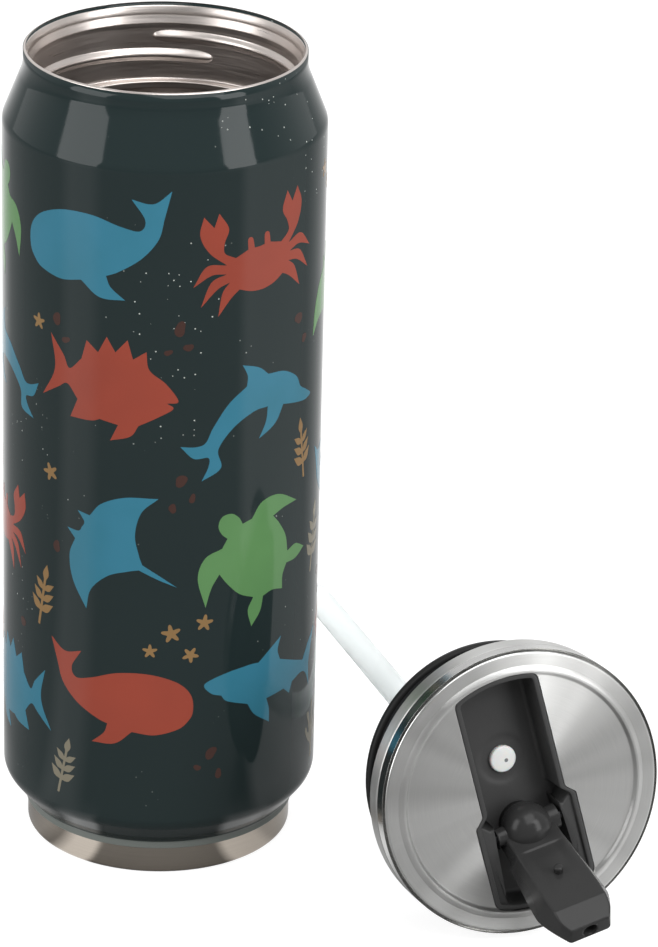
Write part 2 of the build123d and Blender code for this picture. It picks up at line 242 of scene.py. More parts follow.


# %% [markdown]
# ### Painted and bare metal
# The paint is a dark slate green under a clear lacquer, with a spray of pale specks in the print and
# a satin band at the hem, painted a lighter grey: a painted sheen of the rolled hem. The bare steel is
# brushed round the can, so its grain is noise squeezed hard along the height.

# %% Paint and ink
HEM_TOP = 7.8       # mm: below this the hem is satin and painted a lighter grey, a painted sheen
HEM_GLOSS = (0.3, 0.3, 0.3, 1)
SPECK_SIZE, SPECK_SHARE = 0.14, 0.78


def lacquered(name, low, high):
    """A finish under lacquer, its roughness from low to high, and the faint ripple of a sprayed coat."""
    f = Finish(name, IOR=1.3)
    f.bump(f.noise(700, 2), 0.03, 0.0001)
    return f, f.ramp(f.noise(60, 4), [(0.3, low), (0.7, high)])


def shell_paint():
    f, gloss = lacquered("slate_paint", 0.05, 0.09)
    ground = f.mix(f.noise(18, 2), paint(31, 42, 43), paint(36, 47, 47))
    dots = f.node("ShaderNodeTexVoronoi", {"Vector": f.coord.outputs["Object"], "Scale": 900.0}).outputs
    lot = f.node("ShaderNodeSeparateColor", {"Color": dots["Color"]}).outputs[0]
    speck = f.math("MULTIPLY", f.math("LESS_THAN", dots["Distance"], SPECK_SIZE),
                   f.math("GREATER_THAN", lot, SPECK_SHARE))
    patch = f.ramp(f.noise(34, 2, shift=(0.3, 0.1, 0.2)), [(0.53, 0.0), (0.62, 1.0)])
    ground = f.mix(f.math("MULTIPLY", speck, patch), ground, paint(190, 196, 190))
    height = f.node("ShaderNodeSeparateXYZ", {0: f.coord.outputs["Object"]}).outputs[2]
    # Below HEM_TOP the roughness is satin, the hem's own, and the colour is a lighter grey, a painted sheen
    # for the light the rolled hem catches
    satin_hem_and_sheen = f.math("LESS_THAN", height, HEM_TOP * MM)
    f.drive("Base Color", f.mix(satin_hem_and_sheen, ground, paint(116, 121, 117)))
    f.drive("Roughness", f.mix(satin_hem_and_sheen, gloss, HEM_GLOSS))
    return f.material


def ink(name, colour, darker):
    f, gloss = lacquered(name, 0.07, 0.12)
    f.drive("Base Color", f.mix(f.noise(45, 3), paint(*darker), paint(*colour)))
    f.drive("Roughness", gloss)
    return f.material


# %% Steel and plastics
def can_steel(name, colour, rough):
    f = Finish(name, Metallic=1.0)
    grain = f.noise(90, 4, stretch=(1, 1, 40))
    cloud = f.noise(30, 3)
    dark = np.array(colour) * 0.86
    f.drive("Base Color", f.mix(f.mix(0.5, grain, cloud), paint(*dark), paint(*colour)))
    f.drive("Roughness", f.ramp(grain, [(0.3, rough * 0.8), (0.7, rough * 1.3)]))
    f.bump(grain, 0.06, 0.0001)
    return f.material


def plastic(name, colour, rough, grain=900.0, depth=0.00008):
    f = Finish(name, IOR=1.28)
    light = np.array(colour) * 1.15 + 1
    f.drive("Base Color", f.mix(f.noise(60, 3), paint(*colour), paint(*light)))
    f.drive("Roughness", f.ramp(f.noise(130, 4), [(0.3, rough * 0.85), (0.7, rough * 1.2)]))
    f.bump(f.noise(grain, 3), 0.25, depth)
    return f.material


paint_finish = shell_paint()
liner_finish = can_steel("warm_liner_steel", (217, 209, 204), 0.34)
foot_finish = can_steel("polished_foot_steel", (180, 171, 160), 0.10)
tray_finish = plastic("black_tray_plastic", (57, 57, 57), 0.45)
spout_finish = plastic("black_spout_plastic", (43, 43, 43), 0.22, 700.0, 0.00001)
plug_finish = plastic("black_plug_plastic", (30, 30, 31), 0.42)
rubber_finish = plastic("black_seal_rubber", (28, 28, 28), 0.5, 500.0, 0.0001)
pad_finish = plastic("grey_pad_rubber", (44, 44, 45), 0.7, 500.0, 0.0002)
print("finishes", [made.name for made in (paint_finish, liner_finish, foot_finish, tray_finish,
                                          spout_finish, plug_finish, rubber_finish, pad_finish)])

# %% [markdown]
# ## The painted can
# A real shell is drawn from sheet steel: a straight body, a sloped shoulder and heel, and a hem
# rolled round the foot. One profile with true bend radii, spun round, gives all of it, and the
# inner side is the same path moved in by the sheet's thickness.

# %% Painted shell
BODY_R, NECK_R, HEM_R = 32.97, 28.7, 28.4
RIM_Z = 173.0
SHEET = 0.5


def shell_profile():
    corners = [(HEM_R - 0.45, 6.0), (HEM_R, 6.15), (HEM_R, 7.6), (BODY_R, 13.5), (BODY_R, 158.3),
               (NECK_R, 169.0), (NECK_R, RIM_Z - 0.3)]
    outer = refine(rounded(corners, [0, 0.45, 0.7, 4.5, 4.5, 9.0, 0], 12), 6.0)
    inner = offset_path(outer, SHEET)[1:]
    return np.vstack([outer, inner[::-1]])


build("painted_shell", [(turned(shell_profile(), 360), True)], "bottle", paint_finish,
      ["outer_shell"])

# %% [markdown]
# ## The print
# The can carries a wrapped print of flat sea creatures, kelp and pebbles. On the real can it is a
# transfer under the lacquer, a few hundredths of a millimetre thick. A Shrinkwrap of flat shapes
# would do, but here each outline is filled with small triangles and rolled onto the can, so every
# shape is a thin closed sheet with the can's own curve.

# %% Outlines of the creatures, in millimetres
CURVE_STEP = 0.5


def curve(points):
    """Closed smooth curve through the points; a third value of 1 marks a sharp corner.
    From p1 to p2 it is (2t^3 - 3t^2 + 1) p1 + (t^3 - 2t^2 + t) m1 + (3t^2 - 2t^3) p2 + (t^3 - t^2) m2.
    A tangent m is half the step between a point's neighbours, or p2 - p1 at a corner, and at most 1.4
    chords long."""
    pts = np.array([p[:2] for p in points], float)
    sharp = [len(p) > 2 for p in points]
    out = []
    for i in range(len(pts)):
        j = (i + 1) % len(pts)
        p1, p2 = pts[i], pts[j]
        m1 = (p2 - p1) if sharp[i] else (p2 - pts[i - 1]) / 2
        m2 = (p2 - p1) if sharp[j] else (pts[(j + 1) % len(pts)] - p1) / 2
        chord = np.linalg.norm(p2 - p1)
        m1 = m1 * min(1, 1.4 * chord / np.linalg.norm(m1))
        m2 = m2 * min(1, 1.4 * chord / np.linalg.norm(m2))
        t = np.linspace(0, 1, max(2, int(chord / CURVE_STEP) + 1), endpoint=False)[:, None]
        out.append((2 * t ** 3 - 3 * t ** 2 + 1) * p1 + (t ** 3 - 2 * t ** 2 + t) * m1
                   + (3 * t ** 2 - 2 * t ** 3) * p2 + (t ** 3 - t ** 2) * m2)
    return np.vstack(out)


def mirrored(half):
    """A shape from its right half, listed from the top of the centre line to the bottom."""
    inner = [p for p in half if p[0] > 0]
    return half[:1] + inner + half[-1:] + [(-p[0], *p[1:]) for p in reversed(inner)]


WHALE = [
    (-16.5, -0.6), (-15.6, 3.6), (-12, 6.6), (-5.5, 7.9), (1.5, 6.9), (7.5, 4.1), (11.2, 2.9),
    (12.6, 5.2), (10.6, 9.8, 1), (14.9, 8.3), (19.0, 10.4, 1), (16.6, 5.0), (14.6, 0.6), (10.5, -3.0),
    (5.2, -5.4), (2.4, -6.1, 1), (3.0, -8.6), (5.6, -11.6, 1), (0.2, -10.6), (-3.4, -6.9, 1),
    (-8.5, -6.9), (-13.5, -5.0), (-15.4, -3.2)]
DOLPHIN = [
    (16.8, -3.2), (14.6, -1.2), (12.4, 0.6), (11.0, 3.6), (7.0, 6.6), (2.2, 7.8, 1), (-0.2, 10.2),
    (-4.2, 12.0, 1), (-3.2, 9.2), (-3.6, 6.8, 1), (-8.2, 4.0), (-12.2, -0.6), (-14.2, -3.8),
    (-16.4, -4.4), (-19.8, -3.8, 1), (-17.2, -7.0), (-14.0, -7.4), (-14.2, -9.6), (-16.0, -12.6, 1),
    (-11.4, -10.4), (-11.6, -6.0), (-7.6, -1.8), (-2.4, 0.4), (1.4, 0.3, 1), (0.6, -3.0), (-1.6, -6.4, 1),
    (3.2, -4.4), (6.0, -1.0, 1), (10.0, -2.4), (14.2, -3.6)]
SHARK = [
    (-17.6, 0.8), (-13, 3.4), (-7, 5.0), (-4.4, 5.2, 1), (-1.4, 8.0), (1.8, 10.6, 1), (1.2, 7.4),
    (2.4, 4.9, 1), (7.6, 3.5), (12.6, 2.2, 1), (15.2, 5.6), (19.0, 8.8, 1), (17.2, 3.2), (16.6, 0.0),
    (18.0, -5.4, 1), (15.0, -1.6), (12.0, -0.6), (8.2, -1.8, 1), (7.4, -4.4, 1), (5.0, -2.8, 1),
    (-0.6, -4.0, 1), (0.6, -6.6), (1.2, -10.0, 1), (-3.6, -7.4), (-6.0, -4.6, 1), (-11.6, -3.4),
    (-13.2, -2.0, 1), (-15.8, -1.4)]
TUNA = [
    (14.6, 0.4), (11.4, 4.0), (7.4, 6.6), (6.2, 10.6, 1), (3.6, 8.3, 1), (1.8, 12.4, 1), (-0.4, 9.0, 1),
    (-2.8, 12.0, 1), (-4.2, 7.9, 1), (-7.2, 9.8, 1), (-7.8, 5.2, 1), (-10.4, 1.9), (-12.4, 4.4),
    (-16.4, 8.0, 1), (-14.2, 0.4), (-16.8, -7.0, 1), (-12.6, -3.4), (-10.4, -1.8), (-7.4, -4.4, 1),
    (-8.6, -9.0, 1), (-3.6, -8.2), (-1.6, -7.2, 1), (2.6, -7.4, 1), (1.4, -11.4, 1), (5.6, -9.4),
    (7.0, -6.6, 1), (11.2, -3.6), (13.8, -1.4), (12.2, -0.4, 1)]
TURTLE = mirrored([
    (0, 13.2), (1.9, 12.2), (2.5, 10.2), (2.2, 8.4, 1), (4.4, 7.5, 1), (8.4, 8.4), (12.4, 5.8),
    (15.2, -0.6, 1), (11.6, 2.0), (8.4, 3.3, 1), (8.5, 0.2), (8.0, -3.8), (6.2, -7.2, 1), (9.0, -8.6),
    (10.6, -12.2, 1), (7.0, -11.2), (4.4, -9.1, 1), (2.0, -10.2), (0, -12.6, 1)])
MANTA = mirrored([
    (0, 7.0), (1.6, 7.2), (2.9, 10.0, 1), (3.9, 6.9, 1), (8.6, 6.0), (13.6, 2.0), (17.6, -4.6, 1),
    (12.4, -3.0), (6.6, -4.6), (2.6, -8.0), (0.8, -10.0, 1), (0.5, -15.0), (0, -20.0, 1)])
CRAB = mirrored([
    (0, 3.9), (1.3, 4.0, 1), (1.6, 6.4), (2.7, 6.4), (2.9, 4.0, 1), (6.0, 2.9, 1), (8.4, 4.6), (8.2, 7.0),
    (7.0, 10.0), (8.8, 13.8, 1), (10.2, 10.8, 1), (12.2, 13.6, 1), (13.4, 9.6), (11.8, 5.4),
    (8.2, 1.8, 1), (12.6, 2.4), (16.0, -1.8, 1), (11.8, 0.2), (8.4, -0.2, 1), (12.0, -1.4),
    (14.8, -6.6, 1), (10.8, -3.2), (7.8, -2.2, 1), (9.8, -4.4), (11.2, -9.4, 1), (8.0, -6.0),
    (5.8, -4.4, 1), (3.0, -5.6), (0, -6.0)])
CORAL = [
    (-1.4, -12.0, 1), (-1.5, -6.0), (-5.6, -2.0), (-8.6, 3.2), (-7.2, 4.6), (-5.4, 1.4), (-3.4, 0.2, 1),
    (-4.8, 5.6), (-6.6, 9.6), (-4.8, 10.8), (-3.0, 6.8), (-1.6, 2.4, 1), (-0.4, 8.0), (-0.6, 13.4),
    (1.4, 13.6), (1.6, 7.8), (1.6, 1.6, 1), (4.0, 4.6), (6.0, 9.4), (7.8, 8.6), (6.0, 3.6),
    (3.6, -0.8, 1), (7.0, -0.4), (9.6, 2.4), (10.8, 0.8), (7.0, -3.4), (2.6, -5.4), (1.4, -12.0, 1)]


def star(size):
    """r = size * (1 - 0.55 * (1 - ((1 + cos(5t)) / 2) ** 1.3)), with t from the arm that points up."""
    t = np.linspace(0, 2 * np.pi, 70, endpoint=False) + np.pi / 2
    wave = ((1 + np.cos(5 * (t - np.pi / 2))) / 2) ** 1.3
    r = size * (1 - 0.55 * (1 - wave))
    return np.stack([r * np.cos(t), r * np.sin(t)], 1)


def frond(pairs, leaf, gap):
    """A stem with pairs of pointed leaves: up the right side, round the top leaf, down the left."""
    stem = 0.32
    right = [(stem, -leaf, 1)]
    for k in range(pairs):
        y = k * gap
        size = leaf * (1 - 0.09 * k)
        right += [(stem, y, 1), (0.62 * size, y + 0.12 * size), (size, y + 0.82 * size, 1),
                  (0.36 * size, y + 0.62 * size), (stem, y + 0.36 * size, 1)]
    top = pairs * gap
    right += [(stem, top, 1), (0.26 * leaf, top + 0.45 * leaf)]
    return ([(0, -leaf - 0.1)] + right + [(0, top + 1.1 * leaf, 1)]
            + [(-p[0], *p[1:]) for p in reversed(right)])


def pebble(size, phase):
    """r = size * (1 + 0.18 cos(2t + phase) + 0.08 cos(3t))"""
    t = np.linspace(0, 2 * np.pi, 18, endpoint=False)
    r = size * (1 + 0.18 * np.cos(2 * t + phase) + 0.08 * np.cos(3 * t))
    return np.stack([r * np.cos(t), 0.8 * r * np.sin(t)], 1)


# %% Fill an outline and roll it onto the can
PRINT_R, PRINT_UNDER = BODY_R + 0.03, BODY_R - 0.02
FILL_STEP, FILL_CLEAR = 1.4, 0.45       # grid of inner points, and how far they keep from the outline


def filled(outline):
    """Triangles inside an outline, with inner points on a square grid so that no triangle is long.
    A grid point is inside where a line from it to the right crosses the outline an odd number of times."""
    low, high = outline.min(0), outline.max(0)
    gx, gy = np.meshgrid(*(np.arange(low[k], high[k], FILL_STEP) for k in (0, 1)))
    spots = np.stack([gx.ravel(), gy.ravel()], 1)
    a, b = outline, np.roll(outline, -1, 0)
    cross = (a[:, 1] > spots[:, 1:]) != (b[:, 1] > spots[:, 1:])
    rise = np.where(a[:, 1] == b[:, 1], 1, b[:, 1] - a[:, 1])
    hit = spots[:, :1] < a[:, 0] + (b[:, 0] - a[:, 0]) * (spots[:, 1:] - a[:, 1]) / rise
    clear = np.linalg.norm(spots[:, None] - outline[None], axis=2).min(1) > FILL_CLEAR
    spots = spots[((cross & hit).sum(1) % 2 == 1) & clear]
    verts, _, faces, *_ = delaunay_2d_cdt([Vector(p) for p in np.vstack([outline, spots])], [],
                                          [list(range(len(outline)))], 1, 1e-5)
    return np.array([tuple(v) for v in verts]), np.array([f[:] for f in faces])


def printed(name, shapes, material):
    """One thin closed sheet for each shape, at angle = heading + u / R and height = z + v.
    Normals on its face are those of the can, (cos a, sin a, 0)."""
    verts, faces, normals, base = [], [], [], 0
    for points, heading, z, tilt, size in shapes:
        outline = points if isinstance(points, np.ndarray) else curve(points)
        flat, tris = filled(outline * abs(size) * [np.sign(size), 1])
        a, b, c = (flat[tris[:, k]] for k in range(3))
        turn = np.cross(b - a, c - a) < 0
        tris[turn] = tris[turn][:, ::-1]
        count = len(flat)
        sides = np.vstack([tris[:, [0, 1]], tris[:, [1, 2]], tris[:, [2, 0]]])
        keys = set(map(tuple, sides.tolist()))
        rim = [(i, j) for i, j in keys if (j, i) not in keys]
        s, t = np.sin(np.radians(tilt)), np.cos(np.radians(tilt))
        u, v = flat[:, 0] * t - flat[:, 1] * s, flat[:, 0] * s + flat[:, 1] * t
        angle = np.radians(heading) + u / PRINT_R
        way = np.stack([np.cos(angle), np.sin(angle), 0 * angle], 1)
        up = np.stack([0 * v, 0 * v, v + z], 1)
        verts += [(way * PRINT_R + up) * MM, (way * PRINT_UNDER + up) * MM]
        faces += (tris + base).tolist() + (tris[:, ::-1] + base + count).tolist()
        faces += [[base + i, base + count + i, base + count + j, base + j] for i, j in rim]
        normals += [way[tris].reshape(-1, 3), -way[tris].reshape(-1, 3), np.zeros((4 * len(rim), 3))]
        base += 2 * count
    mesh = bpy.data.meshes.new(name)
    mesh.from_pydata(np.vstack(verts), [], faces)
    mesh.shade_smooth()
    mesh.normals_split_custom_set(np.vstack(normals).tolist())
    finish_piece(name, mesh, "bottle", material)


# %% Place the creatures round the can: shape, heading in degrees, height, tilt and size
printed("print_blue", [
    (WHALE, -114, 141, 10, 0.98), (DOLPHIN, -50, 105, 6, 0.94), (MANTA, -108, 77, 60, 0.86),
    (SHARK, -44, 43, -8, 0.92), (DOLPHIN, -168, 108, 12, -0.88), (TUNA, -158, 36, 6, -0.90),
    (SHARK, 32, 139, 5, 0.84), (MANTA, 86, 112, -40, 0.70), (WHALE, 10, 80, -6, -0.84),
    (DOLPHIN, 62, 50, 6, 0.78), (WHALE, 138, 84, 6, 0.82), (SHARK, 137, 134, -5, 0.80),
    (TUNA, 132, 26, -8, 0.78)], ink("blue_ink", (62, 127, 154), (46, 108, 124)))
printed("print_red", [
    (CRAB, -52, 137, 6, 0.94), (TUNA, -106, 111, -8, 0.94), (WHALE, -102, 42, -6, -0.92),
    (CRAB, -168, 73, -12, 0.86), (TUNA, 88, 142, 4, 0.82), (CRAB, 38, 108, 8, 0.76),
    (SHARK, 84, 78, 6, -0.80), (CRAB, 166, 46, 5, 0.74), (TUNA, 12, 46, -6, -0.80)],
    ink("red_ink", (160, 72, 55), (132, 62, 50)))
printed("print_green", [
    (TURTLE, -52, 73, 38, 0.98), (TURTLE, -170, 141, -30, 0.92), (MANTA, 0, 124, 20, 0.80),
    (TURTLE, 128, 112, 24, 0.80), (TURTLE, 38, 25, 64, 0.62), (MANTA, 99, 43, 50, 0.66)],
    ink("green_ink", (100, 146, 92), (82, 122, 78)))
printed("print_ochre", [
    (star(2.1), -84, 58, 10, 1), (star(1.8), -77, 53, 40, 1), (star(1.9), -72, 60, -8, 1),
    (star(1.6), -91.5, 54, 0, 1), (frond(3, 3.2, 2.4), -27, 89, 8, 1),
    (frond(3, 3.2, 2.5), -136, 58, -10, 1), (star(1.8), -137, 122, 0, 1), (star(2.0), -131, 90, 20, 1),
    (star(1.7), 60, 92, 10, 1), (frond(4, 3.4, 2.6), 112, 62, 6, 1),
    (star(2.0), -10, 150, 0, 1), (star(1.7), -3, 146, 30, 1), (frond(3, 3.2, 2.5), 157, 104, 10, 1)],
    ink("ochre_ink", (148, 118, 78), (128, 100, 66)))
printed("print_pale", [
    (frond(3, 3.6, 2.7), -17, 66, -10, 1), (CORAL, -12, 24, 0, 0.5), (frond(3, 3.6, 2.7), 61, 121, 10, 1),
    (CORAL, 168, 22, 4, 0.5), (frond(3, 3.4, 2.6), -126, 21, -12, 0.9)],
    ink("pale_ink", (132, 126, 108), (118, 112, 96)))

# %% Scatter the pebbles: heading, height and size, each turned by its height so that no two look alike
pebbles = [
    (-82, 125, 1.5), (-79, 121, 1.0), (-86, 120, 0.8), (-128, 124, 1.3), (-124, 120, 0.9), (-81, 92, 1.4),
    (-77, 88, 0.9), (-84, 86, 1.0), (-128, 74, 1.2), (-32, 122, 1.4), (-28, 117, 1.0), (-69, 30, 1.4),
    (-66, 25, 1.0), (-74, 27, 0.8), (-147, 53, 1.1), (8, 98, 1.4), (50, 72, 1.3), (109, 122, 1.4),
    (116, 92, 1.1), (-7, 60, 1.2), (-4, 55, 0.9), (172, 88, 1.3), (140, 62, 1.2), (64, 28, 1.3)]
printed("print_pebbles", [(pebble(size, z), heading, z, 7 * z % 90, 1) for heading, z, size in pebbles],
        ink("pebble_ink", (74, 52, 46), (62, 42, 38)))

# %% [markdown]
# ## The bare steel inside
# The liner's neck is where the lid seals: a plain band at the lip, a sloped shoulder, a screw ridge
# pressed inwards, and a step for the gasket. The ridge on the real bottle is rolled, so it is
# rounded and fades out at both ends. Here it is a hump carried along a helix, whose height rises
# and falls along a quarter circle at its ends.

# %% Liner and lip
MOUTH_R, THROAT_R, SEAT_R, LINER_R = 27.7, 27.3, 26.0, 29.4
FLOOR_Z = 9.5       # the liner's floor


def liner_profile():
    """The wet side from lip to floor, the same path moved out by the sheet, and the welded lip on top.
    Heights above FLOOR_Z are taken down from the rim."""
    corners = [(MOUTH_R, 0), (MOUTH_R, 2.7), (THROAT_R - 0.15, 4.3), (THROAT_R, 5.4), (THROAT_R, 16.4),
               (SEAT_R, 16.6), (SEAT_R, 18.0), (LINER_R, 23.6)]
    corners = [(NECK_R - 0.5, RIM_Z)] + [(r, RIM_Z - down) for r, down in corners]
    wet = rounded(corners + [(LINER_R, FLOOR_Z), (0, FLOOR_Z)],
                  [0, 0.45, 1.0, 0.8, 1.0, 0.4, 0.3, 0.8, 4.0, 7.0, 0], 10)
    wet = refine(wet[1:], 5.0)
    wall = offset_path(wet, SHEET)
    wall = wall[wall[:, 1] < RIM_Z - 1.0]
    outside = NECK_R - 0.03
    lip = rounded([(NECK_R - 0.55, RIM_Z - 0.8), (outside, RIM_Z - 0.7), (outside, RIM_Z), (MOUTH_R, RIM_Z),
                   (MOUTH_R, RIM_Z - 1.5)], [0, 0.12, 0.5, 0.45, 0], 9)
    path = np.vstack([lip, wet[wet[:, 1] < RIM_Z - 1.6], wall[::-1]])
    path[:, 0] = np.maximum(path[:, 0], 0)
    return path


# %% Screw ridge
PITCH, RIDGE_W, RUNOUT = 4.0, 3.0, 9.0      # mm a turn, mm wide, degrees over which an end fades out


def ridge(root, side, height, top, turns, start):
    """A hump inwards (side -1) or outwards (side 1) from the root radius, closed behind the wall.
    At angle t along it and v across it, from -pi to pi,
    radius = root + side * (height * end(t) * ((1 + cos v) / 2) ** 0.8 - 0.05) and
    z = top - PITCH * t / (2 pi) + RIDGE_W * (0.25 + 0.75 * end(t)) * v / (2 pi)."""
    length = 2 * np.pi * turns
    t = np.linspace(0, length, int(210 * turns))[:, None]
    end = np.clip(np.degrees(np.minimum(t, length - t)) / RUNOUT, 0, 1)
    end = np.sqrt(1 - (1 - end) ** 2)
    v = np.linspace(-np.pi, np.pi, 17)[None]
    r = root + side * (height * end * ((1 + np.cos(v)) / 2) ** 0.8 - 0.05)
    z = top - PITCH * t / (2 * np.pi) + RIDGE_W * (0.25 + 0.75 * end) * v / (2 * np.pi)
    r = np.concatenate([r, np.full((len(t), 2), root - side * 0.25)], 1)
    z = np.concatenate([z, z[:, -1:] - 0.05, z[:, :1] + 0.05], 1)
    angle = start - t
    points = np.stack([r * np.cos(angle), r * np.sin(angle), z], -1)
    first = np.broadcast_to(points[0].mean(0), points[0].shape)[None]
    last = np.broadcast_to(points[-1].mean(0), points[-1].shape)[None]
    return np.concatenate([first, points, last])


liner_ridge = ridge(THROAT_R, -1, 0.9, RIM_Z - 7.1, 1.075, np.radians(98))
build("steel_liner", [(turned(liner_profile(), 320), True), (liner_ridge, False)], "bottle",
      liner_finish, ["inner_liner", "liner_base"])

# %% [markdown]
# ## The foot
# A steel cup closes the bottom. It tucks up inside the hem, stands on a rounded ring, and is dished
# in the middle, with a soft pad in the dish.

# %% Foot cup and pad
FOOT_R, PAD_R, PAD_TOP = 27.85, 23.0, 3.0


def foot_profile():
    corners = [(FOOT_R, 8.9), (FOOT_R, 0), (25.0, 0), (PAD_R + 0.6, PAD_TOP), (4.0, PAD_TOP), (3.0, 4.0),
               (0, 4.0)]
    outer = refine(rounded(corners, [0, 1.1, 0.7, 0.7, 0.4, 0.4, 0], 10), 3.0)
    inner = offset_path(outer, -SHEET)
    inner[-1, 0] = 0
    return np.vstack([outer[::-1], inner])


pad = rounded([(0, 0), (PAD_R, 0), (PAD_R, PAD_TOP), (0, PAD_TOP)], [0, 0.7, 0.2, 0], 8)
build("steel_foot", [(turned(foot_profile(), 320), False)], "bottle", foot_finish,
      ["outer_base"])
build("foot_cushion", [(turned(refine(pad, 3.0), 128), False)], "bottle", pad_finish,
      ["foot_pad"])

# %% [markdown]
# ## Where the lid stands
# The lid is drawn flat, with its face up, x across the slot, y up the slot and z out of the face.
# It then leans on the back edge of its skirt, turned towards the viewer.

# %% Place the lid's own coordinates in the scene
CAP_R, SKIRT = 30.4, 8.0
LEAN, TURN, SPIN = np.radians([8.3, 21.8, 12.8])


def about(axis, angle):
    return np.array(Matrix.Rotation(angle, 3, axis))


LID_TURN = about("Z", TURN) @ about("X", np.pi / 2 - LEAN) @ about("Z", SPIN)
LID_CENTRE = np.array([75.8, -47.7, CAP_R * np.cos(LEAN) + SKIRT * np.sin(LEAN)])


def on_lid(points):
    """Lid coordinates to scene coordinates: centre + rotation applied to each point."""
    return points @ LID_TURN.T + LID_CENTRE


def on_lid_at(y):
    """Places a shape that was turned about the z axis at y up the slot."""
    return lambda points: on_lid(points + [0, y, 0])


# %% [markdown]
# ## The brushed cap
# The cap is one pressing: skirt, flat ring, recessed disc, and a slot that widens beside the hinge.
# Cutting the slot with a Boolean would leave long thin faces that spoil the brushed reflections.
# Instead the sheet's profile is carried round in polar form, and its inner end follows the slot's
# edge, so every row of faces runs along the edge of the slot.

# %% Outline of the slot in polar form
DISC_Z, DISC_EDGE, RING_IN = -0.6, 25.0, 25.6
SLOT_END = 25.4


def slot_outline(inset):
    """The slot's edge moved in by inset: a channel 18.8 wide that steps out to 22.8 beside the hinge."""
    narrow, wide, end = 9.4 - inset, 11.4 - inset, SLOT_END - inset
    y_end, y_wide = np.sqrt(end ** 2 - narrow ** 2), np.sqrt(end ** 2 - wide ** 2)
    top = np.linspace(np.arctan2(y_end, narrow), np.pi - np.arctan2(y_end, narrow), 7)
    low = np.linspace(np.pi + np.arctan2(y_wide, wide), 2 * np.pi - np.arctan2(y_wide, wide), 7)
    top, low = (end * np.stack([np.cos(a), np.sin(a)], 1) for a in (top, low))
    corners = np.vstack([top, [(-narrow, -2.3), (-wide, -4.3)], low, [(wide, -4.3), (narrow, -2.3)]])
    radii = np.full(len(corners), 8.0)
    radii[[0, 6, 9, 15]] = 2.0 - inset
    radii[[7, 16]] = 1.0 + inset
    radii[[8, 17]] = 1.0 - 0.5 * inset
    ring = rounded(corners, radii, 7, closed=True)
    return refine(np.vstack([ring, ring[:1]]), 0.25)[:-1]


def polar_edge(inset, angles):
    """Distance from the lid's axis to the slot's edge in each direction."""
    edge = slot_outline(inset)
    heading, reach = np.arctan2(edge[:, 1], edge[:, 0]), np.hypot(edge[:, 0], edge[:, 1])
    order = np.argsort(heading)
    return np.interp(angles, heading[order], reach[order], period=2 * np.pi)


def slot_angles():
    """Directions to sample: those of the edge's own points, so that a line of faces meets each corner."""
    edge = slot_outline(0.0)
    return np.sort(np.arctan2(edge[:, 1], edge[:, 0]))


# %% Cap surface
BEND_R = DISC_EDGE - 0.3        # the disc is flat inside this radius
BURR = 0.15                     # width of the rounded edge round the slot


def cap_height(r):
    """Height of the cap's face: ring at 0, a short cone, then the disc, with each bend softened."""
    soft = 0.10
    slope = (r - DISC_EDGE) / (RING_IN - DISC_EDGE)
    low = 0.5 * (slope + np.sqrt(slope ** 2 + soft ** 2))
    return DISC_Z + (RING_IN - DISC_EDGE) * (low - 0.5 * ((low - 1) + np.sqrt((low - 1) ** 2 + soft ** 2)))


def cap_grid():
    """One row for each direction: up the skirt, over the ring and the disc to the slot's edge, and back
    along the underside."""
    angles = slot_angles()
    edge = polar_edge(0.0, angles)[:, None]
    skirt = rounded([(CAP_R - 0.45, -SKIRT), (CAP_R - 0.12, -SKIRT), (CAP_R, -4.2), (CAP_R - 0.15, -3.9),
                     (CAP_R, -3.65), (CAP_R, 0), (RING_IN + 0.5, 0)], [0, 0.2, 0.1, 0.1, 0.1, 0.9, 0], 9)
    skirt = refine(skirt, 1.2)
    r_fixed = np.concatenate([skirt[:, 0], np.linspace(RING_IN + 0.4, BEND_R, 15)])
    z_fixed = np.concatenate([skirt[:, 1], cap_height(r_fixed[len(skirt):])])
    top_r = np.maximum(r_fixed[None], edge + BURR)
    top_z = np.where(r_fixed[None] > RING_IN + 0.45, z_fixed[None], cap_height(top_r))
    start = np.maximum(BEND_R, edge + BURR)
    disc_r = start + (edge + BURR - start) * np.linspace(0, 1, 22)[None, 1:]
    lip = np.array([(0.10, 0.0), (0.03, -0.03), (0.0, -0.10), (0.0, -0.40), (0.10, -SHEET)])
    edge_r, edge_z = edge + lip[None, :, 0], cap_height(edge + 0.1) + lip[None, :, 1]
    under_r = edge + 0.2 + (BEND_R - edge).clip(0) * np.linspace(0, 1, 6)[None]
    inside = CAP_R - SHEET
    inner = rounded([(RING_IN, -SHEET), (inside, -SHEET), (inside, -SKIRT + 0.05)], [0, 0.5, 0], 5)
    inner = refine(inner, 1.5)
    inner_r, inner_z = (np.broadcast_to(row, (len(angles), len(inner))) for row in inner.T)
    r = np.concatenate([top_r, disc_r, edge_r, under_r, inner_r], 1)
    z = np.concatenate([top_z, cap_height(disc_r), edge_z, cap_height(under_r) - SHEET, inner_z], 1)
    a = angles[:, None]
    return on_lid(np.stack([r * np.cos(a), r * np.sin(a), z], -1))


# %% Circular brushing
BAND_MIDDLE, BAND_HALF = CAP_R + 0.68, 1.17     # the polished band, in the measure that lathe_map calls u
BAND_ROUGHNESS = (0.2, 0.2, 0.2, 1)
BRUSH_PULL = 0.9        # anisotropy of the brushed part; the polished band has none


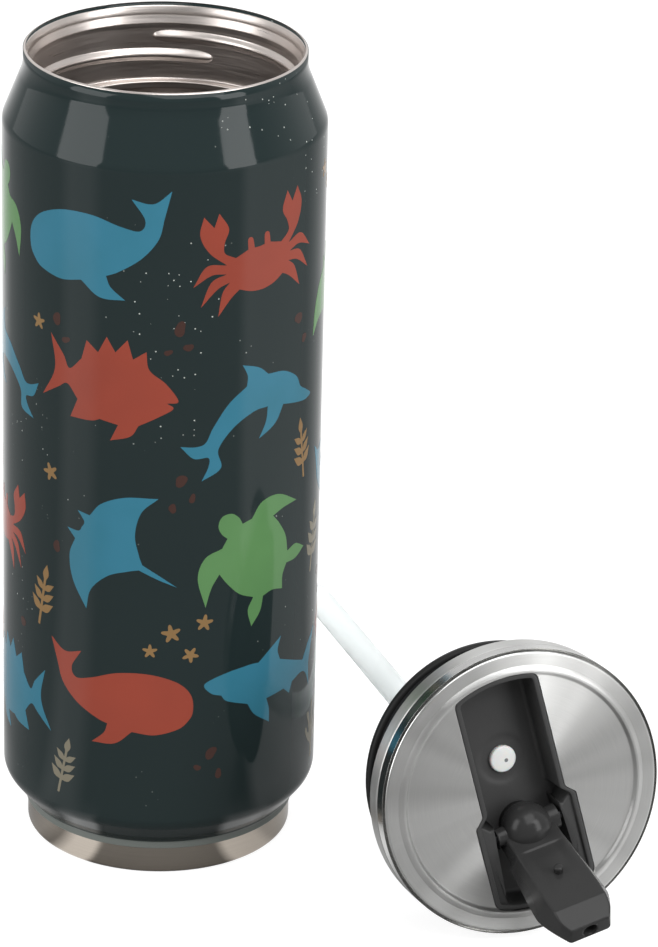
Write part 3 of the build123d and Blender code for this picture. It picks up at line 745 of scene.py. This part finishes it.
def cap_steel():
    """Steel brushed in circles: the grain is noise in (radius, angle), squeezed along the angle.
    The tone also drifts with the angle, noise at (cos angle, sin angle): painted highlights, broad bright
    and dim fans like those that circular brushing shows under lamps.
    The band between the face's edge and the rolled groove is polished, so it mirrors what is beside it."""
    f = Finish("circle_brushed_steel", Metallic=1.0)
    uv = f.node("ShaderNodeUVMap", {}, uv_map="lathe").outputs[0]
    grain = f.noise(16000, 2, stretch=(1, 0.00012, 1), source=uv)
    fine = f.noise(40000, 2, stretch=(1, 0.0001, 1), source=uv)
    both = f.mix(0.5, grain, fine)
    across, angle = f.node("ShaderNodeSeparateXYZ", {0: uv}).outputs[:2]
    around = f.node("ShaderNodeCombineXYZ", {0: f.math("COSINE", angle), 1: f.math("SINE", angle)})
    # Painted highlight: a slow noise round the angle makes broad lighter and darker fans in the colour
    painted_fan_highlights = f.ramp(f.noise(2.4, 1, source=around.outputs[0]), [(0.35, 0.76), (0.65, 1.0)])
    tone = f.ramp(both, [(0.35, paint(194, 194, 193)), (0.65, paint(208, 208, 206))])
    f.drive("Base Color", f.mix(1.0, tone, painted_fan_highlights, "MULTIPLY"))
    from_middle = f.math("ABSOLUTE", f.math("SUBTRACT", across, BAND_MIDDLE * MM))
    polished = f.math("LESS_THAN", from_middle, BAND_HALF * MM)
    f.drive("Roughness", f.mix(polished, f.ramp(both, [(0.3, 0.32), (0.7, 0.42)]), BAND_ROUGHNESS))
    f.drive("Anisotropic", f.math("MULTIPLY_ADD", polished, -BRUSH_PULL, BRUSH_PULL))
    tangent = f.node("ShaderNodeTangent", {}, direction_type="UV_MAP", uv_map="lathe")
    f.drive("Tangent", tangent.outputs[0])
    f.bump(both, 0.08, 0.00004)
    return f.material


def lathe_map(piece):
    """UV map with u = radius - height / 2 in metres and v = angle about the lid's axis in radians.
    A face that crosses 180 degrees takes all its angles from one side, so that it isn't smeared."""
    mesh = piece.data
    co = np.empty(len(mesh.vertices) * 3)
    mesh.vertices.foreach_get("co", co)
    local = (co.reshape(-1, 3) / MM - LID_CENTRE) @ LID_TURN
    corner = np.empty(len(mesh.loops), int)
    mesh.loops.foreach_get("vertex_index", corner)
    radius = (np.hypot(local[:, 0], local[:, 1]) - 0.5 * local[:, 2]) * MM
    angle = np.arctan2(local[:, 1], local[:, 0])[corner]
    start = np.empty(len(mesh.polygons), int)
    total = np.empty(len(mesh.polygons), int)
    mesh.polygons.foreach_get("loop_start", start)
    mesh.polygons.foreach_get("loop_total", total)
    first = np.repeat(angle[start], total)
    angle = angle + 2 * np.pi * np.round((first - angle) / (2 * np.pi))
    layer = mesh.uv_layers.new(name="lathe")
    layer.data.foreach_set("uv", np.stack([radius[corner], angle], 1).ravel())


lathe_map(build("brushed_cap", [(cap_grid(), True)], "lid", cap_steel(), ["lid_cover"]))

# %% [markdown]
# ## The black tray
# Under the slot sits a moulded tray. The spout folds down into it, two cheeks hold the hinge pins,
# and the vent button stands on its floor in a shallow dish. The walls are rows of the same polar
# outline at growing inset and depth, and the floor is those rows drawn in to the middle.

# %% Tray, cheeks and boss
TRAY_TOP, TRAY_FLOOR, TRAY_UNDER = -0.5, -7.5, -8.7
VENT_Y, HINGE_Y, HINGE_Z = 5.4, -8.8, -3.0
SOCKET_TOP = -12.5      # where the straw's nozzle meets the boss


def tray_grid():
    """Rows of the slot's outline: out beneath, up the outside, over the rim, down the walls and in to the
    middle of the floor, whose dish falls away as 0.3 / (1 + exp(4 (distance - 5.1)))."""
    angles = slot_angles()[::2]
    rows = [(0.1, TRAY_UNDER), (0.1, -3.0), (0.1, -0.68), (0.14, -0.56), (0.26, TRAY_TOP), (0.98, TRAY_TOP),
            (1.1, -0.54), (1.16, -0.66), (1.2, -1.2), (1.22, -4.0), (1.25, -6.6), (1.33, -7.1), (1.6, -7.4)]
    inset, depth = np.array(rows).T
    reach = np.stack([polar_edge(i, angles) for i in inset], 1)
    height = np.broadcast_to(depth, reach.shape)
    draw = np.linspace(1, 0, 60)[None] ** 0.9
    inner = polar_edge(2.0, angles)[:, None] * draw
    x, y = inner * np.cos(angles[:, None]), inner * np.sin(angles[:, None])
    away = np.hypot(x, y - VENT_Y)
    dish = 0.3 / (1 + np.exp((away - 5.1) * 4))
    under = polar_edge(0.1, angles)[:, None] * np.linspace(0, 1, 12)[None, :-1]
    r = np.concatenate([under, reach, inner], 1)
    z = np.concatenate([np.full(under.shape, TRAY_UNDER), height, TRAY_FLOOR - dish], 1)
    a = angles[:, None]
    return on_lid(np.stack([r * np.cos(a), r * np.sin(a), z], -1)).transpose(1, 0, 2)


def slab(corners, radii, levels):
    """A flat piece with a rounded edge: its outline drawn in by an inset at each height, closed at both
    ends. The inset outline is centre + (point - centre) * (1 - inset / distance)."""
    ring = rounded(np.array(corners, float), radii, 7, closed=True)
    middle = ring.mean(0)
    span = ring - middle
    far = np.linalg.norm(span, axis=1, keepdims=True)
    rows = [np.column_stack([middle + span * (1 - inset / far), np.full(len(ring), z)])
            for inset, z in levels]
    low = np.broadcast_to([*middle, levels[0][1]], rows[0].shape)
    high = np.broadcast_to([*middle, levels[-1][1]], rows[0].shape)
    return np.stack([low, *rows, high])


def cheek(side):
    corners = [(7.4 * side, -4.3), (10.9 * side, -4.5), (10.9 * side, -21.9), (7.4 * side, -23.3)]
    levels = [(0, -8.0), (0, -4.5), (0, -1.6), (0.07, -1.36), (0.25, -1.22), (0.5, -1.2)]
    return on_lid(slab(corners, [0.8, 0.9, 0.9, 0.6], levels))


boss = rounded([(0, -8.0), (6.5, -8.0), (6.5, SOCKET_TOP), (0, SOCKET_TOP)], [0, 0, 0.4, 0], 5)
tray_parts = [tray_grid(), cheek(1), cheek(-1), turned(boss, 64, on_lid_at(HINGE_Y))]
build("spout_cradle", [(part, False) for part in tray_parts], "lid", tray_finish,
      ["spout_tray"])

# %% [markdown]
# ## The vent button
# Air comes in past a soft white button with a pin hole. It is a turned shape with a full edge
# radius, and its hole is not cut: a grey spot in the material is the hole's painted shade, set a
# little off centre as moulded ones are.

# %% Vent button
PIN_HOLE_R = 0.42


def silicone():
    f = Finish("white_silicone", Roughness=0.45, Subsurface_Weight=0.25, Subsurface_Scale=0.002,
               Sheen_Weight=0.15)
    hole = on_lid(np.array([0.5, VENT_Y - 0.35, -6.8])) * MM
    away = f.node("ShaderNodeVectorMath", {0: f.coord.outputs["Object"], 1: tuple(hole)},
                  operation="DISTANCE").outputs["Value"]
    # Painted shade: a grey disc where the pin hole would be dark inside; the shape has no hole
    spot = f.math("LESS_THAN", away, PIN_HOLE_R * MM)
    body = f.mix(f.noise(300, 3), paint(222, 223, 221), paint(234, 234, 232))
    f.drive("Base Color", f.mix(spot, body, paint(120, 120, 120)))
    f.bump(f.noise(500, 3), 0.1, 0.0001)
    return f.material


button = rounded([(0, -6.72), (1.6, -6.76), (2.85, -6.86), (2.85, -8.0), (0, -8.0)],
                 [0, 2.0, 0.45, 0, 0], 9)
build("vent_button", [(turned(button, 96, on_lid_at(VENT_Y)), False)], "lid", silicone(),
      ["vent_valve"])

# %% [markdown]
# ## The flip spout
# The spout is one moulding: a flat mouthpiece, a ball that turns on the seal, and a crossbar on the
# hinge pins. The mouthpiece is a rounded section carried along its length, whose width, depth and
# corner change smoothly, and it ends in a true opening into the drinking channel.

# %% Mouthpiece
SPOUT_LENGTH, SPOUT_OPEN = 28.4, np.radians(120)
SPOUT_TURN = about("X", SPOUT_OPEN)


def on_spout(points):
    """Shut spout (x, along, outward) turned about the hinge, then placed with the lid."""
    return on_lid(points @ SPOUT_TURN.T + [0, HINGE_Y, HINGE_Z])


def smooth(x, knots, values):
    """Values along x eased between knots by t*t*(3 - 2t), so the outline has no kinks."""
    k = np.clip(np.searchsorted(knots, x, side="right") - 1, 0, len(knots) - 2)
    knots, values = np.asarray(knots, float), np.asarray(values, float)
    t = np.clip((x - knots[k]) / (knots[k + 1] - knots[k]), 0, 1)
    return values[k] + (values[k + 1] - values[k]) * t * t * (3 - 2 * t)


def blade_sizes(along):
    """Half widths of the upper and lower face and their heights at each distance along the mouthpiece.
    Near the tip the half width falls as w0 - 3.5 u ** 1.35, and the lower face ends in a quarter ellipse."""
    tip = SPOUT_LENGTH
    wide = smooth(along, [0, 4.6, 7.4, 20.5], [6.2, 6.2, 7.3, 8.05])
    wide = wide - 3.5 * (np.clip(along - 20.4, 0, 8) / 8) ** 1.35
    under = smooth(along, [0, 4.6, 8.0, 20.0, 24.0], [5.6, 5.6, 5.7, 6.0, 5.9])
    v = np.clip((along - (tip - 4.9)) / 4.9, 0, 1)
    under = np.minimum(under - 1.8 * (1 - np.sqrt(1 - v ** 2)), wide - 0.15)
    top = np.full(len(along), 3.2)
    low = np.interp(along, [0, 4.0, 23.3, 23.7, 28.4], [-1.0, -1.0, -2.58, -2.58, -0.9])
    shrink = 0.45 - np.sqrt(0.45 ** 2 - np.clip(along - (tip - 0.45), 0, 0.45) ** 2)
    return wide, under, top - shrink, low + 0.6 * shrink


TOP_ROUND, LOW_ROUND = 0.8, 0.45        # corner radii of the section
MOUTH_HOLE_Z, MOUTH_HOLE_R, MOUTH_HOLE_DEEP = 1.1, 1.5, 9.0


def blade_grid():
    """Section of the mouthpiece at each distance along it: a trapezium, wide outside and narrower
    beneath, with rounded corners. The last rows cross the end face and run down the drinking hole."""
    tip = SPOUT_LENGTH
    eased = 1 - np.sin(np.linspace(0.03, np.pi / 2, 26))
    along = np.concatenate([np.linspace(0.5, 5.8, 16), np.linspace(6.0, 7.0, 8), np.linspace(7.2, 23.0, 42),
                            np.linspace(23.1, 24.2, 9), tip - 4.1 * eased])
    w, g, hi, lo = (size[:, None] for size in blade_sizes(along))
    a = np.linspace(0, np.pi / 2, 7)[None]
    t = np.linspace(-1, 1, 41)[None, 1:-1]
    deep = 0.25 * smooth(along, [6.3, 6.8, 10, 20.0], [0, 1, 0.7, 0])[:, None]
    dish = deep * (1 - smooth(np.abs(t).ravel(), [0, 0.5, 0.95], [0, 0, 1]))[None]
    rt, rl = TOP_ROUND, LOW_ROUND
    x = np.concatenate([w - rt + rt * np.cos(a), -(w - rt) * t, -(w - rt) - rt * np.sin(a),
                        -(g - rl) - rl * np.cos(a), (g - rl) * t, g - rl + rl * np.sin(a)], 1)
    n = np.concatenate([hi - rt + rt * np.sin(a), hi + 0 * t, hi - rt + rt * np.cos(a),
                        lo + rl - rl * np.sin(a), lo + dish, lo + rl - rl * np.cos(a)], 1)
    body = np.stack([x, np.broadcast_to(along[:, None], x.shape), n], -1)
    end = body[-1]
    heading = np.arctan2(end[:, 2] - MOUTH_HOLE_Z, end[:, 0])
    hole = np.stack([MOUTH_HOLE_R * np.cos(heading), np.full(len(end), tip),
                     MOUTH_HOLE_Z + MOUTH_HOLE_R * np.sin(heading)], -1)
    face = [end + (hole - end) * k for k in (0.12, 0.5, 0.85)]
    wide_rim = hole + (hole - [0, 0, MOUTH_HOLE_Z]) * [0.14, 0, 0.14]
    rim = [wide_rim] + [hole - [0, depth, 0] for depth in (0.2, 1.0, MOUTH_HOLE_DEEP)]
    back = np.broadcast_to([0, tip - MOUTH_HOLE_DEEP, MOUTH_HOLE_Z], end.shape)
    root = np.broadcast_to([0, 0.5, 1.2], end.shape)
    return np.concatenate([root[None], body, np.stack(face + rim + [back])])


# %% Crossbar, ball and rest nub
BAR_R, BAR_HALF, BALL_R = 2.7, 7.1, 5.3


def crossbar_grid():
    bar = rounded([(0, -BAR_HALF), (BAR_R, -BAR_HALF), (BAR_R, BAR_HALF), (0, BAR_HALF)],
                  [0, 0.4, 0.4, 0], 7)
    return turned(refine(bar, 2.0), 64, lambda p: p[..., [2, 0, 1]])


def ball_grid():
    a = np.linspace(-np.pi / 2, np.pi / 2, 65)
    return turned(np.column_stack([BALL_R * np.cos(a).clip(0), BALL_R * np.sin(a)]), 96)


nub = rounded([(0, 0.0), (0.9, 0.0), (0.9, -3.4), (0, -3.4)], [0, 0, 0.6, 0], 7)
spout_parts = [blade_grid(), crossbar_grid(), ball_grid(), turned(nub, 32, lambda p: p + [0, 14.2, 0])]
build("flip_spout", [(on_spout(part), False) for part in spout_parts], "spout",
      spout_finish, ["spout"])

# %% [markdown]
# ## The plug under the cap
# The plug screws into the bottle's neck. Its flange meets the lip, a ridge of one turn follows the
# neck's ridge, and a soft ring sits in a groove at its end.

# %% Plug, gasket, end disc and straw nozzle
PLUG_R, PLUG_BORE, GASKET_R = 26.0, 24.5, 27.0
GROOVE_R, GROOVE_TOP, GROOVE_END = 25.1, -17.2, -19.2


def plug_profile():
    """Round the section: flange, neck, screw core, gasket groove, and back up the bore."""
    corners = [(27.1, -1.3), (29.85, -1.3), (29.85, -5.0), (26.8, -5.0), (26.8, -9.5), (PLUG_R, -9.5),
               (PLUG_R, GROOVE_TOP), (GROOVE_R, GROOVE_TOP), (GROOVE_R, GROOVE_END), (25.6, GROOVE_END),
               (25.6, -19.6), (PLUG_BORE, -19.6), (PLUG_BORE, -8.8), (25.4, -8.8), (25.4, -2.2),
               (27.1, -2.2)]
    radii = [0.1, 0.3, 0.4, 0.3, 0.3, 0.3, 0.2, 0.1, 0.1, 0.15, 0.15, 0.3, 0.2, 0.2, 0.1, 0.1]
    ring = rounded(corners, radii, 6, closed=True)
    return refine(np.vstack([ring, ring[:1]]), 2.0)[:-1]


gasket = rounded([(GROOVE_R, GROOVE_TOP), (GASKET_R, GROOVE_TOP), (GASKET_R, GROOVE_END),
                  (GROOVE_R, GROOVE_END)], [0.1, 0.75, 0.75, 0.1], 8, closed=True)
disc_r = PLUG_BORE - 0.05
end_disc = rounded([(0, -19.2), (disc_r, -19.2), (disc_r, -18.0), (0, -18.0)], [0, 0.3, 0.3, 0], 6)
nozzle = rounded([(3.05, -23.0), (4.5, -23.0), (4.5, -13.7), (6.0, -13.7), (6.0, SOCKET_TOP),
                  (2.0, SOCKET_TOP), (2.0, -13.7), (3.05, -13.7)],
                 [0.3, 0.4, 0.4, 0.2, 0.2, 0, 0, 0], 6, closed=True)
plug_ridge = on_lid(ridge(PLUG_R, 1, 1.0, -10.1, 1.0, np.radians(200)))
build("screw_plug", [(turned(plug_profile(), 256, on_lid), True), (plug_ridge, False)], "lid",
      plug_finish, ["lid_plug"])
build("plug_gasket", [(turned(gasket, 256, on_lid), True)], "lid", rubber_finish,
      ["lid_gasket"])
build("plug_end_disc", [(turned(refine(end_disc, 3.0), 128, on_lid), False)], "lid",
      plug_finish, ["plug_floor"])
build("straw_nozzle", [(turned(nozzle, 96, on_lid_at(HINGE_Y)), True)], "lid", plug_finish,
      ["straw_socket"])

# %% [markdown]
# ## The straw
# The straw is a soft clear tube. It leaves its nozzle straight, then the table pushes it aside, so
# its path is a straight, a gentle arc and a straight. A ring of points is carried along that path,
# out along the outer wall and back along the bore, which closes the tube at both ends.

# %% Straw
STRAW_R, STRAW_WALL, STRAW_TOP = 3.0, 0.6, -13.9
STRAIGHT, BEND, BEND_RADIUS, RUN = 12, np.radians(6.45), 60.0, 127


def clear_straw():
    f = Finish("milky_straw", Roughness=0.5, IOR=1.07, Transmission_Weight=0.72)
    f.drive("Base Color", f.mix(f.noise(120, 3), paint(244, 247, 247), paint(250, 252, 252)))
    f.bump(f.noise(200, 2), 0.05, 0.0002)
    return f.material


def straw_path():
    """Points and directions along the middle: straight down, round an arc and straight on."""
    down = np.linspace(0, STRAIGHT, 13)
    arc = np.linspace(0, BEND, 17)[1:]
    run = np.linspace(0, RUN, 65)[1:]
    x = np.concatenate([0 * down, BEND_RADIUS * (1 - np.cos(arc))])
    z = np.concatenate([-down, -STRAIGHT - BEND_RADIUS * np.sin(arc)])
    lean = np.concatenate([0 * down, arc, np.full(len(run), BEND)])
    x = np.concatenate([x, x[-1] + run * np.sin(BEND)])
    z = np.concatenate([z, z[-1] - run * np.cos(BEND)])
    return np.stack([x, np.full(len(x), HINGE_Y), z + STRAW_TOP], 1), lean


def tube_grid():
    """Rings round the path, down the outer wall and back up the bore: centre + r (side cos t + y sin t)."""
    centre, lean = straw_path()
    t = np.linspace(0, 2 * np.pi, 48, endpoint=False)[None]
    side = np.stack([np.cos(lean), 0 * lean, np.sin(lean)], 1)[:, None]
    across = np.array([0, 1.0, 0])[None, None]
    ring = side * np.cos(t)[..., None] + across * np.sin(t)[..., None]
    out, bore = centre[:, None] + STRAW_R * ring, centre[:, None] + (STRAW_R - STRAW_WALL) * ring
    return np.concatenate([out, bore[::-1]])


build("drinking_straw", [(on_lid(tube_grid()), True)], "straw", clear_straw(), ["straw"])

# %% [markdown]
# ## The small solids
# The hinge pins, the ring under the spout's ball and what sits between the two walls are turned or
# pressed parts with plain shapes, hardly seen or hidden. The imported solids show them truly, so they
# stay as they are and only take a finish.

# %% Finishes for the small solids
def dress(node, material):
    mesh = bpy.data.objects[node].data
    mesh.materials.clear()
    mesh.materials.append(material)
    print(f"{node}: {material.name}")


dress("hinge_pins", can_steel("blackened_pin_steel", (84, 84, 86), 0.35))
dress("getter", can_steel("dull_getter_metal", (150, 150, 152), 0.5))
dress("getter_clip", can_steel("clip_steel", (170, 170, 168), 0.35))
dress("vacuum_seal", plastic("fused_glass_bead", (150, 148, 140), 0.15))
dress("spout_seal", rubber_finish)

# %% [markdown]
# ## The floor
# The objects stand on a plain floor that the viewer sees as white. Its own colour is grey, so that it
# throws little light back up, and a glow that only straight and mirrored rays see makes it white.
# Polished steel shows what lies around it, so the mirrored floor has painted pools of light and shade by
# heading: a glow that only mirrored rays see.

# %% Floor
FLOOR_GREY, FLOOR_GLOW = (0.27, 0.27, 0.27, 1), 0.86
NEAR, FAR = 0.045, 0.065        # metres from the bottle's axis: the near pools fade into the far ones
# Painted light and shade: levels of the glow that mirrored rays see, by heading, near the bottle and further
# out
FAR_LIGHT_POOLS = [(-180, 0.1), (-164, 0.1), (-154, 0.9), (-140, 0.8), (-130, 0.03), (-36, 0.03), (-28, 1.1),
             (-8, 0.8), (30, 0.1), (62, 0.6), (84, 0.9), (115, 0.9), (138, 0.25), (180, 0.1)]
NEAR_LIGHT_POOLS = [(-180, 0.2), (-158, 0.35), (-146, 0.12), (-136, 1.2), (-123, 1.2), (-119, 0.0), (-56, 0.0),
              (-50, 0.9), (-30, 0.75), (-22, 0.4), (45, 0.5), (115, 0.9), (180, 0.2)]


def floor_finish():
    """Glow = FLOOR_GLOW * max(seen straight or through the straw, mirrored * pools). The pools are
    ramps over the heading from the bottle's axis, atan2(y, x) / (2 pi) + 1/2: painted light and shade
    that only mirrored rays see."""
    f = Finish("white_sweep", Roughness=0.9, Base_Color=FLOOR_GREY)
    place = f.coord.outputs["Object"]
    x, y = f.node("ShaderNodeSeparateXYZ", {0: place}).outputs[:2]
    heading = f.math("MULTIPLY_ADD", f.math("ARCTAN2", y, x), 0.5 / np.pi, 0.5)
    far, near = (f.ramp(heading, [((angle + 180) / 360, level) for angle, level in pools])
                 for pools in (FAR_LIGHT_POOLS, NEAR_LIGHT_POOLS))
    reach = f.node("ShaderNodeVectorMath", {0: place}, operation="LENGTH").outputs["Value"]
    pools = f.mix(f.ramp(reach, [(NEAR, 1.0), (FAR, 0.0)]), far, near)
    mirror = f.node("ShaderNodeLightPath").outputs["Is Glossy Ray"]
    seen = f.math("MAXIMUM", f.seen_through(), f.math("MULTIPLY", mirror, pools))
    glow = f.node("ShaderNodeEmission", {"Color": (1, 1, 1, 1),
                                         "Strength": f.math("MULTIPLY", seen, FLOOR_GLOW)})
    both = f.node("ShaderNodeAddShader", {0: f.shader.outputs[0], 1: glow.outputs[0]})
    f.tree.links.new(both.outputs[0], f.tree.nodes["Material Output"].inputs["Surface"])
    return f.material


bpy.ops.mesh.primitive_plane_add(size=8, location=(0, 0, 0))
floor = bpy.context.object
floor.name = "floor"
floor.data.materials.append(floor_finish())

# %% [markdown]
# ## The lights
# Two tall soft lamps give the long highlights on the can, and a broad one lights the faces that look up
# and towards the viewer. The room is dim behind the viewer and bright behind the objects, and the viewer
# sees it as plain white.

# %% Lamps
def lamp(name, place, aim, size, watts):
    light = bpy.data.lights.new(name, "AREA")
    light.shape = "RECTANGLE"
    light.size, light.size_y = size
    light.energy = watts
    stand = bpy.data.objects.new(name, light)
    stand.location = place
    stand.rotation_euler = (Vector(aim) - Vector(place)).to_track_quat("-Z", "Y").to_euler()
    bpy.context.scene.collection.objects.link(stand)
    print(f"{name}: {watts} W, {size[0]} by {size[1]} m")


lamp("left_softbox", (-0.855, -0.493, 0.48), (0.0, 0.0, 0.12), (0.62, 0.85), 6.3)
lamp("right_softbox", (0.85, -0.57, 0.46), (0.03, -0.02, 0.10), (0.42, 0.85), 5.6)
lamp("front_softbox", (0.35, -0.66, 1.30), (0.03, 0.0, 0.05), (1.1, 1.1), 12)

# %% Room
DIM, BRIGHT = 0.36, 1.0

world = bpy.data.worlds.new("studio")
bpy.context.scene.world = world
world.use_nodes = True
room = Nodes(world.node_tree, "Background")
back = room.node("ShaderNodeSeparateXYZ", {0: room.coord.outputs["Generated"]}).outputs["Y"]
level = room.node("ShaderNodeMapRange", {"Value": back, "From Min": -0.25, "From Max": 0.45,
                                         "To Min": DIM, "To Max": BRIGHT}).outputs[0]
room.drive("Strength", room.math("MAXIMUM", room.seen_through(), level))
room.shader.inputs["Color"].default_value = (1, 1, 1, 1)

# %% [markdown]
# ## The camera
# It looks down on the two pieces from the front with a long lens, and is rolled a little to one side.
# Its three axes are written out, because a matrix of axes holds both the pitch and the roll exactly.

# %% Camera
CAMERA_PLACE, LENS = (0.03483, -0.9653, 0.5055), 192.7
PITCH_DOWN, ROLL = np.radians(23.78), 0.0245

right = Vector((1, 0, 0))
up = Vector((0, np.sin(PITCH_DOWN), np.cos(PITCH_DOWN)))
look = Vector((0, np.cos(PITCH_DOWN), -np.sin(PITCH_DOWN)))
tilted_right = right * np.cos(ROLL) + up * np.sin(ROLL)
tilted_up = up * np.cos(ROLL) - right * np.sin(ROLL)
axes = Matrix([[tilted_right[i], tilted_up[i], -look[i]] for i in range(3)])
camera = bpy.data.objects.new("camera", bpy.data.cameras.new("camera"))
camera.data.lens = LENS
camera.data.clip_start = 0.05
camera.matrix_world = Matrix.Translation(CAMERA_PLACE) @ axes.to_4x4()
bpy.context.scene.collection.objects.link(camera)
bpy.context.scene.camera = camera
bpy.context.scene.view_settings.view_transform = "Standard"
print("camera at", CAMERA_PLACE, "with a lens of", LENS, "mm")
